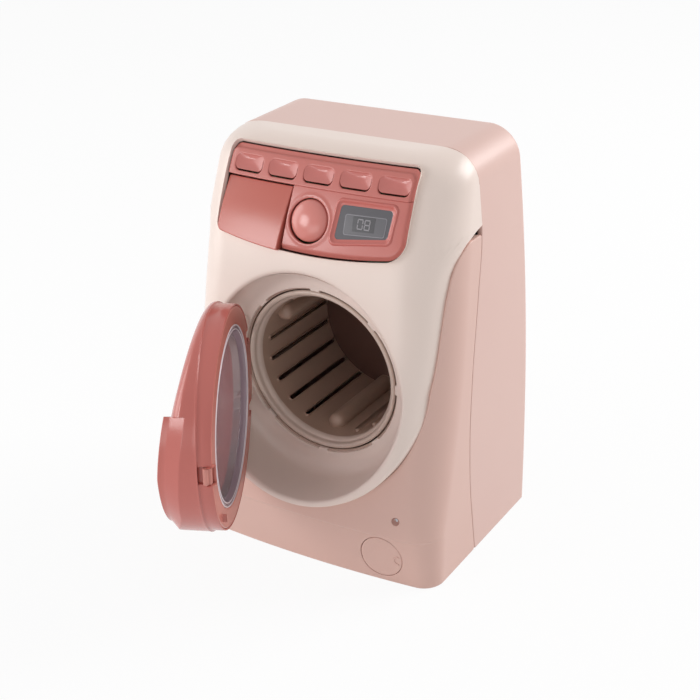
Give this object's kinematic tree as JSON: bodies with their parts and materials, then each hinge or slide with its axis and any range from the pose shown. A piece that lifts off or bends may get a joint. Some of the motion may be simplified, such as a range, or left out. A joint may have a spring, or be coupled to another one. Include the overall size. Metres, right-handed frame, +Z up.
{
  "type": "toy washing machine",
  "caption": "Toy front-loading washing machine with a leaning cream front, round bowl, geared drum, swinging round door, sliding soap drawer and push keys.",
  "frame": {"origin": "middle of the base on the floor it stands on; Y = 0 is halfway between the foot of the front and the back face", "axes": "+Z up, -Y out of the front with the door, +X to the right seen from the front"},
  "size_m": [0.1804, 0.2383, 0.25],
  "materials": {
    "rear_shell": "satin moulded plastic",
    "front_shell": "satin moulded plastic",
    "cream_shell": "satin moulded plastic",
    "foot_rubber": "matt",
    "panel": "satin moulded plastic",
    "bezel": "gloss",
    "label": "matt",
    "ink": "matt",
    "white_part": "natural acetal",
    "steel": "plated",
    "motor_can": "plated",
    "dark_part": "matt",
    "cell_wrap": "printed film",
    "board": "lacquered board",
    "drum": "satin moulded plastic",
    "door": "gloss moulded plastic",
    "door_inner": "gloss moulded plastic",
    "catch": "satin moulded plastic",
    "drawer": "satin moulded plastic",
    "key": "satin moulded plastic",
    "button": "gloss moulded plastic",
    "clear": "clear moulded plastic"
  },
  "bodies": {
    "cabinet": {"rear_casing": "rear_shell", "front_casing": "front_shell", "front_panel": "cream_shell", "base_plate": "front_shell", "rubber_feet": "foot_rubber", "control_panel": "panel", "display_bezel": "bezel", "display_label": "label", "display_digits": "ink", "gear_plate": "white_part", "middle_gear_pin": "steel", "motor": "motor_can", "motor_bracket": "white_part", "battery_box": "dark_part", "battery_cells": "cell_wrap", "battery_contacts": "steel", "battery_door": "front_shell", "battery_door_screw": "steel", "circuit_board": "board", "key_switches": "dark_part", "speaker": "dark_part", "casing_screws": "steel", "filter_cover": "front_shell", "hinge_pin": "steel"},
    "drum": {"drum_shell": "drum", "drum_back": "drum", "drum_axle": "steel", "drum_gear": "white_part"},
    "middle_wheel": {"middle_gear": "white_part"},
    "motor_wheel": {"motor_gear": "white_part"},
    "door": {"door_ring": "door", "door_inner_ring": "door_inner", "door_window": "clear", "door_catch": "catch", "door_screw": "steel"},
    "drawer": {"drawer_front": "drawer", "drawer_tray": "white_part"},
    "start": {"start_button": "button"},
    "key_1": {"programme_key_1": "key"},
    "key_2": {"programme_key_2": "key"},
    "key_3": {"programme_key_3": "key"},
    "key_4": {"programme_key_4": "key"},
    "key_5": {"programme_key_5": "key"}
  },
  "joints": [
    {"name": "drum_turn", "type": "hinge", "parent": "cabinet", "child": "drum", "pos_m": [0, 0, 0.1147], "axis": [0, 1, 0], "continuous": true},
    {"name": "middle_gear_turn", "type": "hinge", "parent": "cabinet", "child": "middle_wheel", "pos_m": [0.03535, 0, 0.07934], "axis": [0, 1, 0], "continuous": true},
    {"name": "motor_gear_turn", "type": "hinge", "parent": "cabinet", "child": "motor_wheel", "pos_m": [0.05038, 0, 0.06432], "axis": [0, 1, 0], "continuous": true},
    {"name": "door_swing", "type": "hinge", "parent": "cabinet", "child": "door", "pos_m": [-0.053, -0.0641, 0.1142], "axis": [0, 0, 1], "range_deg": [-3.5, 64.1]},
    {"name": "drawer_slide", "type": "slide", "parent": "cabinet", "child": "drawer", "axis": [0, -1, 0], "range_m": [0, 0.028]},
    {"name": "start_press", "type": "slide", "parent": "cabinet", "child": "start", "axis": [0, 0.9205, -0.3908], "range_m": [0, 0.0018], "stiffness_N_per_m": 300},
    {"name": "programme_key_1_press", "type": "slide", "parent": "cabinet", "child": "key_1", "axis": [0.0516, 0.8567, -0.5131], "range_m": [0, 0.0014], "stiffness_N_per_m": 250},
    {"name": "programme_key_2_press", "type": "slide", "parent": "cabinet", "child": "key_2", "axis": [0.0258, 0.8579, -0.5131], "range_m": [0, 0.0014], "stiffness_N_per_m": 250},
    {"name": "programme_key_3_press", "type": "slide", "parent": "cabinet", "child": "key_3", "axis": [0, 0.8583, -0.5131], "range_m": [0, 0.0014], "stiffness_N_per_m": 250},
    {"name": "programme_key_4_press", "type": "slide", "parent": "cabinet", "child": "key_4", "axis": [-0.0258, 0.8579, -0.5131], "range_m": [0, 0.0014], "stiffness_N_per_m": 250},
    {"name": "programme_key_5_press", "type": "slide", "parent": "cabinet", "child": "key_5", "axis": [-0.0516, 0.8567, -0.5131], "range_m": [0, 0.0014], "stiffness_N_per_m": 250}
  ],
  "couplings": [
    {"joint": "middle_gear_turn", "follows": "drum_turn", "ratio": -2.3333},
    {"joint": "motor_gear_turn", "follows": "drum_turn", "ratio": 5.6}
  ]
}
